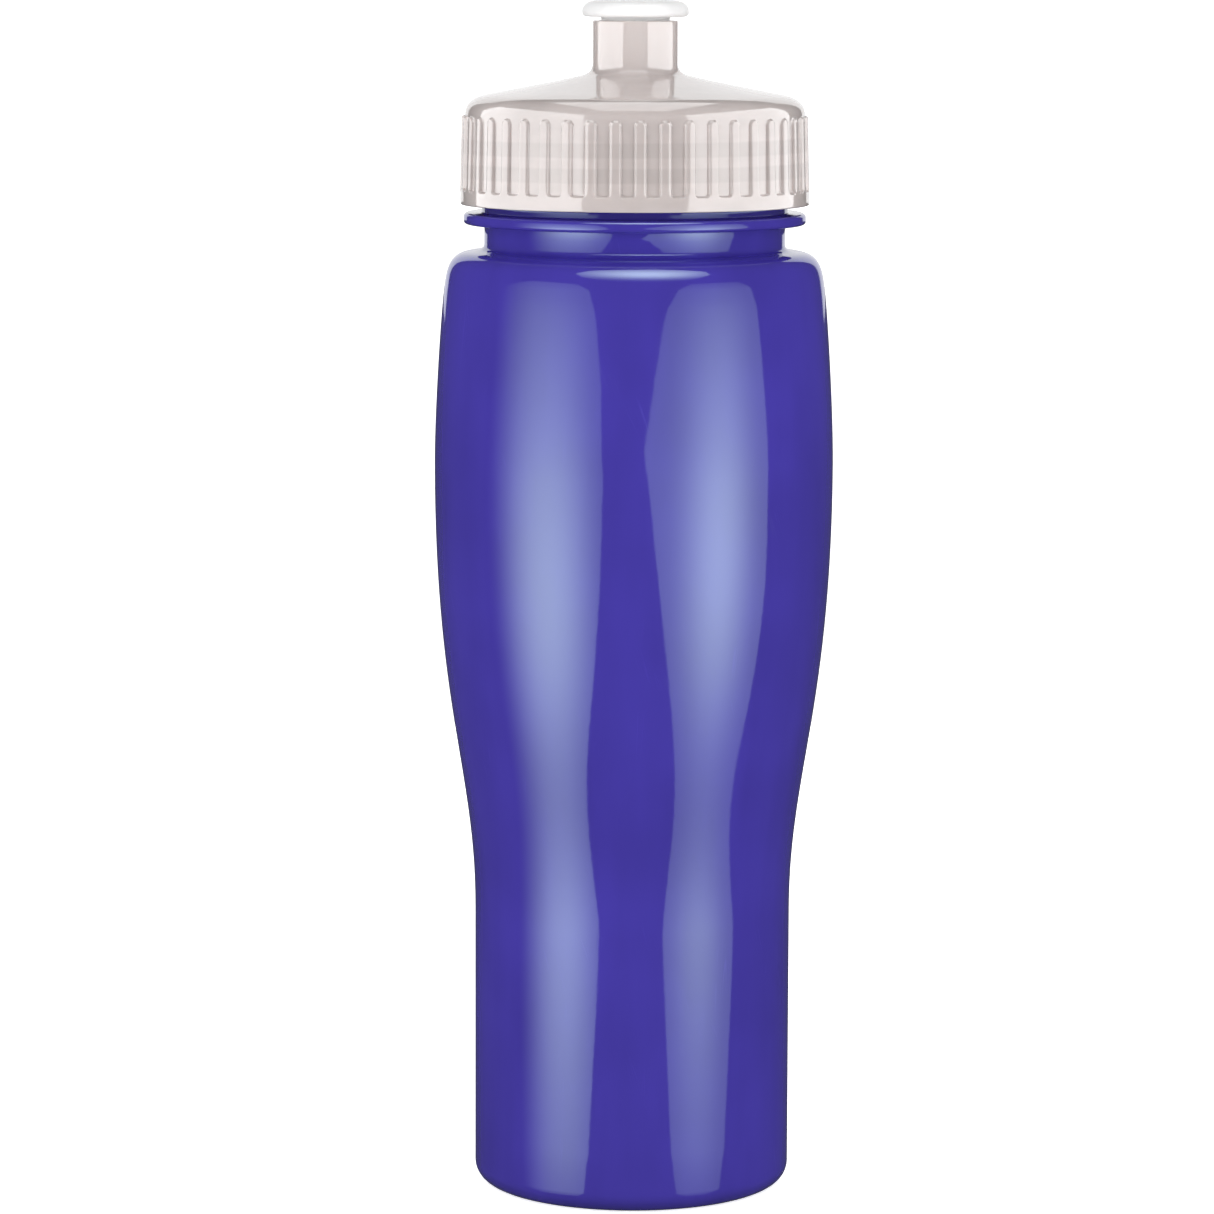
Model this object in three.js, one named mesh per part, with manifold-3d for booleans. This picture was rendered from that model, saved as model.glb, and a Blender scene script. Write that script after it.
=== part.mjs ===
// Sports squeeze bottle with a screw lid and a push-pull drinking valve, in millimetres.
// +Z is up, and the origin is the centre of the standing ring's foot.
// Four pieces: the blown bottle, the moulded lid, the sealing washer in the lid, and the valve.
import * as THREE from "three";
import { mergeVertices } from "three/addons/utils/BufferGeometryUtils.js";
import Module from "manifold-3d";

// ---- Driving dimensions ----
const totalHeight = 235;
const bottleFacets = 40;
const lidFacets = 44; // one facet for each grip rib
const valveFacets = 32;
const bodySteps = 8; // straight steps along each long curve of the body's side
const curveSteps = 3; // and along each short curve of an outline
const runningGap = 0.3; // between pieces that slide or rest on each other

// Bottle: contour body, from the foot to the shoulder
const bodyWall = 0.9;
const footInnerRadius = 24;
const footCorner = 4;
const lowerRadius = 31.3;
const lowerTop = 55.4;
const bellyRadius = 39.29;
const bellyHeight = 144.2;
const shoulderRadius = 37.22;
const shoulderHeight = 180;
const pushUpHeight = 7;
const baseWall = 1.3;

// Bottle: wide-mouth neck, a 63 mm screw finish
const neckRadius = 30;
const neckBore = 28;
const throatRadius = 29.55; // below the neck ring
const throatBottom = 186.1;
const ringRadius = 33.6;
const ringBottom = 191.4;
const ringTop = 193.8;
const rimHeight = 212.5;

// Screw thread, six turns to the inch
const pitch = 25.4 / 6;
const threadTurns = 1.5;
const neckThreadStart = { angle: Math.PI, height: 201.84 };
const neckThread = { foot: neckRadius - 0.2, crest: 31.25, footWidth: 2.2, crestWidth: 1 };
const lidThreadDrop = 1.6; // the lid's thread hangs this far under the neck's
const lidThread = { foot: 31.95, crest: 30.45, footWidth: 1.5, crestWidth: 0.7 };

// Lid
const lidBottom = 195.2;
const lidRadius = 34.25;
const lidBore = 31.75;
const bandTop = 198.2; // plain band under the grip panels
const panelRadius = 33.65;
const sideRadius = 33.2; // at the top of the skirt
const ribTop = 212.4;
const ribWidth = 2.15;
const ribCount = lidFacets;
const frontRib = THREE.MathUtils.degToRad(-88.2); // the rib nearest the front, -Y
const eaveRadius = 29.5; // where the lid's rounded edge meets its cone
const eaveHeight = 216.5;
const coneTop = 220.4;
const ceiling = 214.2; // flat ring that presses on the washer
const keeperOuter = 27.3; // low ring that centres the washer
const keeperWall = 0.9;
const keeperBottom = 212.7;
const domeWall = 1.7;

// Spout tower on the lid, with the sealing pin inside it
const towerRadius = 8.37;
const towerTop = 231;
const towerBore = 7.45;
const lipBore = 7;
const lipBottom = 229.4;
const sleeveBottom = 216;
const pinRadius = 2.4;
const pinTop = 233.6;
const spokeCount = 3;
const spokeWidth = 1.6;
const spokeHeight = 1.6;

// Sealing washer
const washerThickness = 1.2;
const washerOuter = 31.3;

// Push-pull valve, pushed down and shut
const flangeRadius = 10.45;
const flangeBottom = 231.7;
const stemRadius = lipBore - runningGap;
const stemBore = 5.3;
const stemBottom = 219.6;
const valveTravel = 6;
const beadRadius = towerBore - runningGap;
const beadTop = lipBottom - valveTravel - runningGap; // meets the lip when the valve is open
const spoutHole = pinRadius + runningGap;
const flangePlate = 232.6; // underside of the valve's drinking face

const wasm = await Module();
wasm.setup();

// ---- Helpers ----

// A three.js geometry as a manifold-3d solid.
function solid(geometry) {
  const bare = geometry.index ? geometry.toNonIndexed() : geometry.clone();
  bare.deleteAttribute("normal");
  bare.deleteAttribute("uv");
  const merged = mergeVertices(bare, 1e-4);
  return new wasm.Manifold(
    new wasm.Mesh({
      numProp: 3,
      vertProperties: merged.attributes.position.array,
      triVerts: new Uint32Array(merged.index.array),
    }),
  );
}

// A manifold-3d solid as a three.js geometry.
function geometryOf(body) {
  const { numProp, vertProperties, triVerts } = body.getMesh();
  const positions = new Float32Array((vertProperties.length / numProp) * 3);
  for (let i = 0; i * 3 < positions.length; i++) {
    positions.set(vertProperties.subarray(i * numProp, i * numProp + 3), i * 3);
  }
  const geometry = new THREE.BufferGeometry();
  geometry.setAttribute("position", new THREE.BufferAttribute(positions, 3));
  geometry.setIndex(new THREE.BufferAttribute(new Uint32Array(triVerts), 1));
  geometry.computeVertexNormals();
  return geometry;
}

// An outline of (radius, height) points turned about +Z.
function turned(outline, facets, startAngle = 0) {
  const geometry = new THREE.LatheGeometry(outline, facets, startAngle);
  geometry.rotateX(Math.PI / 2);
  return geometry;
}

// A straight-sided ridge that climbs round +Z, fading into its wall at both ends.
function threadRidge(section, start, turns, facets) {
  const steps = Math.round(turns * facets);
  const ridge = new THREE.BoxGeometry(1, 1, 1, steps, 1, 1);
  const places = ridge.attributes.position;
  for (let i = 0; i < places.count; i++) {
    const along = places.getX(i) + 0.5;
    const isOuter = places.getY(i) < 0;
    const isCrest = isOuter === section.crest > section.foot;
    const fade = Math.min(1, 6 * along, 6 * (1 - along));
    const angle = start.angle + along * turns * 2 * Math.PI;
    const radius = isCrest ? section.foot + (section.crest - section.foot) * fade : section.foot;
    const width = isCrest ? section.crestWidth : section.footWidth;
    const height = start.height + along * turns * pitch + places.getZ(i) * width;
    places.setXYZ(i, radius * Math.cos(angle), radius * Math.sin(angle), height);
  }
  return ridge;
}

// Half the body's section, set in from the outside by inset: foot corner, waist, belly, shoulder.
function bodySide(inset) {
  const corner = new THREE.Path();
  corner.absarc(
    lowerRadius - footCorner, footCorner, footCorner - inset, -Math.PI / 2, 0,
  );
  const side = new THREE.Path();
  side.moveTo(lowerRadius - inset, lowerTop);
  side.bezierCurveTo(
    lowerRadius - inset, lowerTop + 27.7,
    bellyRadius - inset, bellyHeight - 49.2,
    bellyRadius - inset, bellyHeight,
  );
  side.bezierCurveTo(
    bellyRadius - inset, bellyHeight + 10.6,
    shoulderRadius + 0.67 - inset, shoulderHeight - 3.8,
    shoulderRadius - inset, shoulderHeight,
  );
  return [...corner.getPoints(curveSteps), ...side.getPoints(bodySteps)];
}

// ---- Bottle ----

// The dome pushed up inside the foot, from its middle down to the foot ring's inner edge.
function pushUp(rise, ringRadiusIn, ringHeight) {
  const curve = new THREE.Path();
  curve.moveTo(0, rise);
  curve.quadraticCurveTo(16, rise, ringRadiusIn, ringHeight);
  return curve.getPoints(curveSteps);
}

function shoulderOutside() {
  const side = new THREE.Path();
  side.moveTo(shoulderRadius, shoulderHeight);
  side.bezierCurveTo(36.8, 183.2, 35.6, 184.9, 33, 185.4);
  side.lineTo(throatRadius, throatBottom);
  side.lineTo(throatRadius, ringBottom);
  side.lineTo(ringRadius - 0.6, ringBottom);
  side.lineTo(ringRadius, ringBottom + 0.7);
  side.lineTo(ringRadius, ringTop - 0.9);
  side.lineTo(ringRadius - 0.7, ringTop - 0.2);
  side.lineTo(neckRadius, ringTop);
  side.lineTo(neckRadius, rimHeight - 0.5);
  side.lineTo(neckRadius - 0.5, rimHeight);
  side.lineTo(neckBore, rimHeight);
  return side.getPoints(curveSteps).slice(1);
}

function shoulderInside() {
  const side = new THREE.Path();
  side.moveTo(shoulderRadius - bodyWall, shoulderHeight);
  side.bezierCurveTo(35.9, 182.6, 34.8, 183.8, 32.6, 184.3);
  side.lineTo(neckBore, 185);
  return side.getPoints(curveSteps).slice(1);
}

function bottleOutline() {
  const outside = [
    ...pushUp(pushUpHeight, 22.5, 1),
    new THREE.Vector2(footInnerRadius, 0),
    ...bodySide(0),
    ...shoulderOutside(),
  ];
  const inside = [
    ...pushUp(pushUpHeight + baseWall, 23, 1.9),
    ...bodySide(bodyWall),
    ...shoulderInside(),
  ];
  return [...outside, ...inside.reverse()];
}

function bottleGeometry() {
  const body = solid(turned(bottleOutline(), bottleFacets));
  const ridge = threadRidge(neckThread, neckThreadStart, threadTurns, bottleFacets);
  return geometryOf(body.add(solid(ridge)));
}

// ---- Lid ----

function lidOutline() {
  const side = new THREE.Path();
  side.moveTo(lidBore + 0.5, lidBottom);
  side.lineTo(lidRadius - 0.4, lidBottom);
  side.lineTo(lidRadius, lidBottom + 0.4);
  side.lineTo(lidRadius, bandTop - 0.2);
  side.lineTo(panelRadius, bandTop);
  side.lineTo(sideRadius + 0.15, ribTop - 0.4);
  side.bezierCurveTo(sideRadius, 214.4, 32.4, 215.9, eaveRadius, eaveHeight);
  side.lineTo(towerRadius + 1.9, coneTop);
  side.quadraticCurveTo(towerRadius, coneTop + 0.35, towerRadius, coneTop + 1.9);
  side.lineTo(towerRadius, towerTop - 0.3);
  side.lineTo(towerRadius - 0.3, towerTop);
  side.lineTo(lipBore, towerTop);
  side.lineTo(lipBore, lipBottom + 0.4);
  side.lineTo(towerBore, lipBottom);
  side.lineTo(towerBore, sleeveBottom);
  side.lineTo(towerRadius, sleeveBottom);
  side.lineTo(towerRadius, coneTop - domeWall);
  side.lineTo(keeperOuter - keeperWall, ceiling + 1.1);
  side.lineTo(keeperOuter - keeperWall, keeperBottom);
  side.lineTo(keeperOuter, keeperBottom);
  side.lineTo(keeperOuter, ceiling);
  side.lineTo(lidBore, ceiling);
  side.lineTo(lidBore, lidBottom + 0.8);
  side.lineTo(lidBore + 0.5, lidBottom);
  return side.getPoints(curveSteps);
}

// One grip rib: an upright bar with a rounded top, standing on the skirt at the +X side.
function ribSolid() {
  const half = ribWidth / 2;
  const face = new THREE.Shape();
  face.moveTo(-half, bandTop - 0.6);
  face.lineTo(half, bandTop - 0.6);
  face.lineTo(half, ribTop - half);
  face.absarc(0, ribTop - half, half, 0, Math.PI);
  const bar = new THREE.ExtrudeGeometry(face, {
    depth: 1,
    bevelEnabled: false,
    curveSegments: 4,
  });
  bar.rotateX(Math.PI / 2);
  bar.rotateZ(Math.PI / 2);
  bar.translate(lidRadius - 1.1, 0, 0);
  return solid(bar);
}

function spiderSolid() {
  const pin = new THREE.CylinderGeometry(pinRadius - 0.5, pinRadius, 0.8, 20);
  pin.rotateX(Math.PI / 2);
  pin.translate(0, 0, pinTop - 0.4);
  const shank = new THREE.CylinderGeometry(pinRadius, pinRadius, pinTop - 0.7 - sleeveBottom, 20);
  shank.rotateX(Math.PI / 2);
  shank.translate(0, 0, (pinTop - 0.7 + sleeveBottom) / 2);
  let spider = solid(pin).add(solid(shank));
  for (let i = 0; i < spokeCount; i++) {
    const spoke = new THREE.BoxGeometry(towerBore + 0.4, spokeWidth, spokeHeight);
    spoke.translate((towerBore + 0.4) / 2, 0, sleeveBottom + spokeHeight / 2);
    spoke.rotateZ((i * 2 * Math.PI) / spokeCount);
    spider = spider.add(solid(spoke));
  }
  return spider;
}

function lidGeometry() {
  const half = Math.PI / lidFacets;
  const shell = solid(turned(lidOutline(), lidFacets, half - frontRib + Math.PI / 2));
  const rib = ribSolid();
  let lid = shell.add(spiderSolid());
  for (let i = 0; i < ribCount; i++) {
    const degrees = THREE.MathUtils.radToDeg(frontRib) + (360 * i) / ribCount;
    lid = lid.add(rib.rotate([0, 0, degrees]));
  }
  const start = {
    angle: neckThreadStart.angle - Math.PI / 2,
    height: neckThreadStart.height - pitch / 4 - lidThreadDrop,
  };
  return geometryOf(lid.add(solid(threadRidge(lidThread, start, threadTurns, lidFacets))));
}

// ---- Washer ----

function washerGeometry() {
  const bottom = (rimHeight + ceiling - washerThickness) / 2;
  const inner = keeperOuter + runningGap;
  const section = [
    new THREE.Vector2(inner, bottom),
    new THREE.Vector2(washerOuter, bottom),
    new THREE.Vector2(washerOuter, bottom + washerThickness),
    new THREE.Vector2(inner, bottom + washerThickness),
    new THREE.Vector2(inner, bottom),
  ];
  return turned(section, lidFacets);
}

// ---- Valve ----

function valveGeometry() {
  const side = new THREE.Path();
  side.moveTo(stemBore, stemBottom);
  side.lineTo(stemRadius - 0.2, stemBottom);
  side.lineTo(beadRadius, beadTop - 0.8);
  side.lineTo(beadRadius, beadTop - 0.3);
  side.lineTo(stemRadius, beadTop);
  side.lineTo(stemRadius, flangeBottom + 0.1);
  side.lineTo(flangeRadius - 1, flangeBottom);
  side.quadraticCurveTo(flangeRadius, flangeBottom, flangeRadius, flangeBottom + 1.1);
  side.quadraticCurveTo(
    flangeRadius, totalHeight - 0.3, flangeRadius - 2.4, totalHeight,
  );
  side.lineTo(spoutHole + 1.6, totalHeight);
  side.lineTo(spoutHole, totalHeight - 1);
  side.lineTo(spoutHole, flangePlate);
  side.lineTo(stemBore, flangePlate - 1);
  side.lineTo(stemBore, stemBottom);
  return turned(side.getPoints(curveSteps), valveFacets);
}

// ---- Assembly ----

const finishes = {
  bottle: { color: 0x463ca3, roughness: 0.15, metalness: 0 },
  lid: { color: 0xdcd3d1, roughness: 0.3, metalness: 0 },
  washer: { color: 0xe6e6e2, roughness: 0.6, metalness: 0 },
  valve: { color: 0xf8f7f7, roughness: 0.35, metalness: 0 },
};

function piece(name, geometry, finish) {
  const mesh = new THREE.Mesh(geometry, new THREE.MeshStandardMaterial(finish));
  mesh.name = name;
  return mesh;
}

const squeezeBottle = new THREE.Group();
squeezeBottle.add(
  piece("bottle", bottleGeometry(), finishes.bottle),
  piece("screw_lid", lidGeometry(), finishes.lid),
  piece("sealing_washer", washerGeometry(), finishes.washer),
  piece("push_pull_valve", valveGeometry(), finishes.valve),
);

export default squeezeBottle;
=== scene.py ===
"""Sports squeeze bottle: the blown bottle, the screw lid with its washer, and the push-pull valve,
modelled over the part's fixed frame. Lengths are in metres, and +Z is up along the bottle's axis."""

import math

import bpy
from mathutils import Matrix, Vector


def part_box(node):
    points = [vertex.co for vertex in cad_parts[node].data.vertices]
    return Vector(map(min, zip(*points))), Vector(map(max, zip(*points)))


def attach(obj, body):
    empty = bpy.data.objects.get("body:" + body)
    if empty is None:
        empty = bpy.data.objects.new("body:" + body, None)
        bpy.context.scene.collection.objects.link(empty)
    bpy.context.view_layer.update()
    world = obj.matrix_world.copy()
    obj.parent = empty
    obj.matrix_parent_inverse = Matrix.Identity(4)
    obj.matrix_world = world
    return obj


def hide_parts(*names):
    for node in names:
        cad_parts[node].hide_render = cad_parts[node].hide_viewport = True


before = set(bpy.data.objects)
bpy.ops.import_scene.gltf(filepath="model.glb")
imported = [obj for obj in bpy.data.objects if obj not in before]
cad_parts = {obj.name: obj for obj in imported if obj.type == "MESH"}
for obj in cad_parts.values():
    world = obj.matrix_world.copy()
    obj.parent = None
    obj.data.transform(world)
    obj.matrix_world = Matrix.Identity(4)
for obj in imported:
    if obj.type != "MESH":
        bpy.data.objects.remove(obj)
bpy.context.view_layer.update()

bl_info = {
    "name": "Sports squeeze bottle",
    "version": (1, 0, 0),
    "blender": (4, 5, 0),
    "location": "3D View > Sidebar > Squeeze Bottle",
    "description": "Builds a waisted squeeze bottle with a ribbed screw lid and a push-pull valve",
    "category": "Add Mesh",
}

BOTTLE_LOW, BOTTLE_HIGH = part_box("bottle")
LID_LOW, LID_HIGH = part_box("screw_lid")
WASHER_LOW, WASHER_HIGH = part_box("sealing_washer")
VALVE_LOW, VALVE_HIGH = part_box("push_pull_valve")

MM = 0.001
MERGE = 1e-6  # vertices closer than this are one
THREAD_PITCH = 0.0254 / 6  # six turns to the inch
SMOOTH_ANGLE = math.radians(38)
LIGHT_FROM_ABOVE = 0.95  # the room's light on matte surfaces, as a share of white
LIGHT_FROM_BELOW = 0.15
ROOM_GLINT = 0.06  # the room in reflections


# ---------------------------------------------------------------------------- sizes and colours


def length(name, description, default):
    return bpy.props.FloatProperty(
        name=name, description=description, default=default, min=0.0, subtype="DISTANCE", unit="LENGTH"
    )


def colour(name, description, default):
    return bpy.props.FloatVectorProperty(
        name=name, description=description, default=default, size=3, min=0.0, max=1.0, subtype="COLOR"
    )


class BottleSizes(bpy.types.PropertyGroup):
    belly_radius: length("Belly radius", "Radius at the widest part", BOTTLE_HIGH.x)
    grip_radius: length("Lower radius", "Radius of the straight lower body", 31.3 * MM)
    rim_height: length("Rim height", "Height of the mouth above the foot", BOTTLE_HIGH.z)
    body_wall: length("Body wall", "Thickness of the squeezable wall", 0.9 * MM)
    neck_radius: length("Neck radius", "Radius of the neck under the thread", 30 * MM)
    neck_bore: length("Neck bore", "Radius of the mouth", 28 * MM)
    facets: bpy.props.IntProperty(
        name="Steps round", description="Steps round the body's axis", default=192, min=48, max=384
    )


class LidSizes(bpy.types.PropertyGroup):
    radius: length("Lid radius", "Radius of the plain band at the foot of the skirt", 34.25 * MM)
    bottom: length("Lid bottom", "Height of the skirt's lower edge", LID_LOW.z)
    tower_radius: length("Tower radius", "Radius of the tower the valve slides in", 8.37 * MM)
    tower_top: length("Tower top", "Height of the tower's lip", 231 * MM)
    rib_width: length("Rib width", "Width of one grip rib", 2.1 * MM)
    rib_count: bpy.props.IntProperty(
        name="Ribs", description="Grip ribs round the skirt", default=44, min=12, max=90
    )


class ValveSizes(bpy.types.PropertyGroup):
    flange_radius: length("Flange radius", "Radius of the flange the valve is pulled by", VALVE_HIGH.x)
    stem_radius: length("Stem radius", "Radius of the stem inside the tower", 6.7 * MM)
    top: length("Valve top", "Height of the valve when it is shut", VALVE_HIGH.z)


class FinishColours(bpy.types.PropertyGroup):
    bottle: colour("Bottle", "Gloss colour of the blown bottle", (0.052, 0.036, 0.33))
    lid: colour("Lid", "Milky colour of the translucent lid", (0.58, 0.52, 0.505))
    valve: colour("Valve", "Colour of the drinking valve", (0.93, 0.93, 0.93))
    washer: colour("Washer", "Colour of the foam washer", (0.80, 0.79, 0.75))


# ---------------------------------------------------------------------------- modelling helpers


def arc_points(centre, radius, start, end, steps):
    """Points on a circular arc of an outline, from start to end in degrees."""
    return [
        (
            centre[0] + radius * math.cos(math.radians(start + (end - start) * i / steps)),
            centre[1] + radius * math.sin(math.radians(start + (end - start) * i / steps)),
        )
        for i in range(steps + 1)
    ]


def curve_points(a, b, c, d, steps):
    """Points on a Bezier curve of an outline."""
    points = []
    for i in range(steps + 1):
        t = i / steps
        weights = ((1 - t) ** 3, 3 * (1 - t) ** 2 * t, 3 * (1 - t) * t * t, t**3)
        points.append(tuple(sum(w * p[axis] for w, p in zip(weights, (a, b, c, d))) for axis in (0, 1)))
    return points


def tidy(outline):
    """The outline in metres, without points that repeat."""
    kept = []
    for radius, height in outline:
        point = (radius * MM, height * MM)
        if not kept or math.dist(point, kept[-1]) > MERGE:
            kept.append(point)
    return kept


def edit():
    bpy.ops.object.mode_set(mode="EDIT")


def leave_edit():
    bpy.ops.object.mode_set(mode="OBJECT")


def start_piece(name, place):
    """A new piece that is one vertex at its place, open in edit mode."""
    bpy.ops.object.select_all(action="DESELECT")
    bpy.ops.mesh.primitive_plane_add(size=MM, location=place)
    piece = bpy.context.object
    piece.name = piece.data.name = name
    bpy.ops.object.transform_apply(location=True, rotation=True, scale=True)
    edit()
    bpy.ops.mesh.select_mode(type="VERT")
    bpy.ops.mesh.select_all(action="SELECT")
    bpy.ops.mesh.merge(type="CENTER")
    return piece


def draw_outline(outline, closed):
    """Extrudes the one vertex along the outline, in the XZ plane."""
    for (r0, z0), (r1, z1) in zip(outline, outline[1:]):
        bpy.ops.mesh.extrude_region_move(TRANSFORM_OT_translate={"value": (r1 - r0, 0, z1 - z0)})
    bpy.ops.mesh.select_all(action="SELECT")
    if closed:
        bpy.ops.mesh.remove_doubles(threshold=MERGE)


def close_skin():
    """Merges seams and poles, and turns every face outwards."""
    bpy.ops.mesh.select_all(action="SELECT")
    bpy.ops.mesh.remove_doubles(threshold=MERGE)
    bpy.ops.mesh.normals_make_consistent(inside=False)


def turned_piece(name, outline, steps, closed=False):
    """An outline of (radius, height) points spun round the bottle's axis."""
    piece = start_piece(name, (outline[0][0], 0, outline[0][1]))
    draw_outline(outline, closed)
    bpy.ops.mesh.spin(steps=steps, angle=math.tau, center=(0, 0, 0), axis=(0, 0, 1))
    close_skin()
    leave_edit()
    return piece


def select_where(piece, domain, wanted):
    """Selects just the vertices, edges or faces that wanted() picks."""
    edit()
    kinds = {"vertices": "VERT", "edges": "EDGE", "polygons": "FACE"}
    bpy.ops.mesh.select_mode(type=kinds[domain])
    bpy.ops.mesh.select_all(action="DESELECT")
    leave_edit()
    for item in getattr(piece.data, domain):
        item.select = wanted(item)
    edit()


def smooth(piece):
    bpy.ops.object.select_all(action="DESELECT")
    piece.select_set(True)
    bpy.context.view_layer.objects.active = piece
    bpy.ops.object.shade_smooth_by_angle(angle=SMOOTH_ANGLE, keep_sharp_edges=True)


def finish_piece(piece, body, slot_name, material, *nodes):
    """Shades the piece, gives it its finish, and seats it on its body in place of its CAD nodes."""
    smooth(piece)
    piece.data.materials.clear()
    piece.data.materials.append(material)
    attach(piece, body)
    if nodes:
        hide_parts(*nodes)


def screw_thread(name, foot, crest, foot_width, crest_width, start_angle, start_height, turns):
    """A thread ridge that climbs its wall and fades into it at both ends."""
    middle = Vector(((foot + crest) / 2, 0, start_height))
    bpy.ops.object.select_all(action="DESELECT")
    bpy.ops.mesh.primitive_plane_add(size=1, location=middle, rotation=(math.pi / 2, 0, 0))
    ridge = bpy.context.object
    ridge.name = ridge.data.name = name
    ridge.scale = (abs(crest - foot), foot_width, 1)
    bpy.ops.object.transform_apply(location=True, rotation=True, scale=True)
    for vertex in ridge.data.vertices:
        on_crest = abs(vertex.co.x - crest) < MERGE
        if on_crest:
            side = math.copysign(crest_width / 2, vertex.co.z - start_height)
            vertex.co.z = start_height + side
        vertex.co.x = crest if on_crest else foot
    select_where(ridge, "vertices", lambda v: abs(v.co.x - crest) < MERGE)
    bpy.ops.mesh.bevel(offset=0.3 * MM, segments=3, affect="VERTICES")
    leave_edit()
    bpy.ops.object.modifier_add(type="SCREW")
    screw = ridge.modifiers[-1]
    screw.axis = "Z"
    screw.angle = turns * math.tau
    screw.screw_offset = turns * THREAD_PITCH
    screw.steps = screw.render_steps = round(turns * 64)
    screw.use_smooth_shade = True
    bpy.ops.object.modifier_apply(modifier=screw.name)
    settle_thread(ridge, foot, start_angle, start_height, turns)
    select_where(ridge, "edges", lambda e: False)
    bpy.ops.mesh.select_non_manifold()
    bpy.ops.mesh.fill_holes(sides=0)
    close_skin()
    leave_edit()
    return ridge


def settle_thread(ridge, foot, start_angle, start_height, turns):
    """Turns the ridge to its start, and fades both its ends into the wall."""
    turn = Matrix.Rotation(start_angle, 3, "Z")
    for vertex in ridge.data.vertices:
        angle = math.atan2(vertex.co.y, vertex.co.x) % math.tau
        rough = (vertex.co.z - start_height) / THREAD_PITCH
        along = angle / math.tau + round(rough - angle / math.tau)
        fade = max(0.0, min(1.0, 5 * along / turns, 5 * (1 - along / turns)))
        radius = math.hypot(vertex.co.x, vertex.co.y)
        faded = foot + (radius - foot) * fade
        vertex.co.x *= faded / radius
        vertex.co.y *= faded / radius
        vertex.co = turn @ vertex.co


# ---------------------------------------------------------------------------- finishes


class Wire:
    """A node's output that can be used in sums: an expression on wires adds its Math nodes."""

    def __init__(self, finish, socket):
        self.finish = finish
        self.socket = socket

    def _math(self, operation, *values):
        return self.finish.node("ShaderNodeMath", {"operation": operation}, dict(enumerate(values)))

    def __add__(self, other):
        return self._math("ADD", self, other)

    def __sub__(self, other):
        return self._math("SUBTRACT", self, other)

    def __rsub__(self, other):
        return self._math("SUBTRACT", other, self)

    def __mul__(self, other):
        return self._math("MULTIPLY", self, other)

    def __truediv__(self, other):
        return self._math("DIVIDE", self, other)

    __radd__ = __add__
    __rmul__ = __mul__


class Finish:
    """A node material, and the few kinds of node its maker needs."""

    def __init__(self, name, **constants):
        self.material = bpy.data.materials.new(name)
        self.material.use_nodes = True
        self.tree = self.material.node_tree
        self.shader = next(n for n in self.tree.nodes if n.type == "BSDF_PRINCIPLED")
        for socket, value in constants.items():
            self.shader.inputs[socket.replace("_", " ")].default_value = value
        place = self.node("ShaderNodeTexCoord", output="Object")
        self.place = self.node(
            "ShaderNodeVectorMath", {"operation": "SCALE"}, {0: place, "Scale": 1 / MM}
        )
        self.x, self.y, self.z = (
            self.node("ShaderNodeSeparateXYZ", {}, {0: self.place}, output=axis) for axis in "XYZ"
        )

    def node(self, kind, settings=None, sockets=None, output=0):
        """Adds a node, makes its settings, then sets or links its sockets, and returns an output."""
        node = self.tree.nodes.new(kind)
        for name, value in (settings or {}).items():
            setattr(node, name, value)
        for key, value in (sockets or {}).items():
            if isinstance(value, Wire):
                self.tree.links.new(value.socket, node.inputs[key])
            else:
                node.inputs[key].default_value = value
        return Wire(self, node.outputs[output])

    def link(self, socket, wire):
        self.tree.links.new(wire.socket, self.shader.inputs[socket])

    def vector(self, x, y, z):
        return self.node("ShaderNodeCombineXYZ", {}, {0: x, 1: y, 2: z})

    def noise(self, vector, scale, detail=2.0, roughness=0.5):
        """Smooth noise from 0 to 1, about 1 / scale across, on a vector in millimetres."""
        sockets = {"Vector": vector, "Scale": scale, "Detail": detail, "Roughness": roughness}
        return self.node("ShaderNodeTexNoise", {}, sockets)

    def step(self, value, low, high):
        """0 below low, 1 above high, and a smooth step between."""
        sockets = {"Value": value, "From Min": low, "From Max": high}
        return self.node("ShaderNodeMapRange", {"interpolation_type": "SMOOTHSTEP"}, sockets)

    def mix(self, factor, first, second):
        """A colour between two colours."""
        settings = {"data_type": "RGBA"}
        return self.node("ShaderNodeMix", settings, {0: factor, 6: first, 7: second}, output=2)

    def bump(self, height, distance, strength=1.0):
        """Raises the surface by height times distance, in metres."""
        sockets = {"Height": height, "Distance": distance, "Strength": strength}
        self.link("Normal", self.node("ShaderNodeBump", {}, sockets))


def opaque(rgb, gain=1.0):
    return (*(min(1.0, c * gain) for c in rgb), 1.0)


def scratches(finish, around, height, slant, spacing, reach, threshold):
    """Fine scratches that lean by slant, each about reach long, spacing apart."""
    across = around + height * slant
    along = height - around * slant
    hair = finish.noise(finish.vector(across / spacing, along / reach, slant * 30), 1.0, 0.0)
    ridge = finish.node("ShaderNodeMath", {"operation": "ABSOLUTE"}, {0: hair - 0.5})
    patch = finish.noise(finish.vector(across / 11, along / 20, slant * 50), 1.0, 2.0)
    return (1 - finish.step(ridge, 0.0, 0.025)) * finish.step(patch, threshold, threshold + 0.1)


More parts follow.
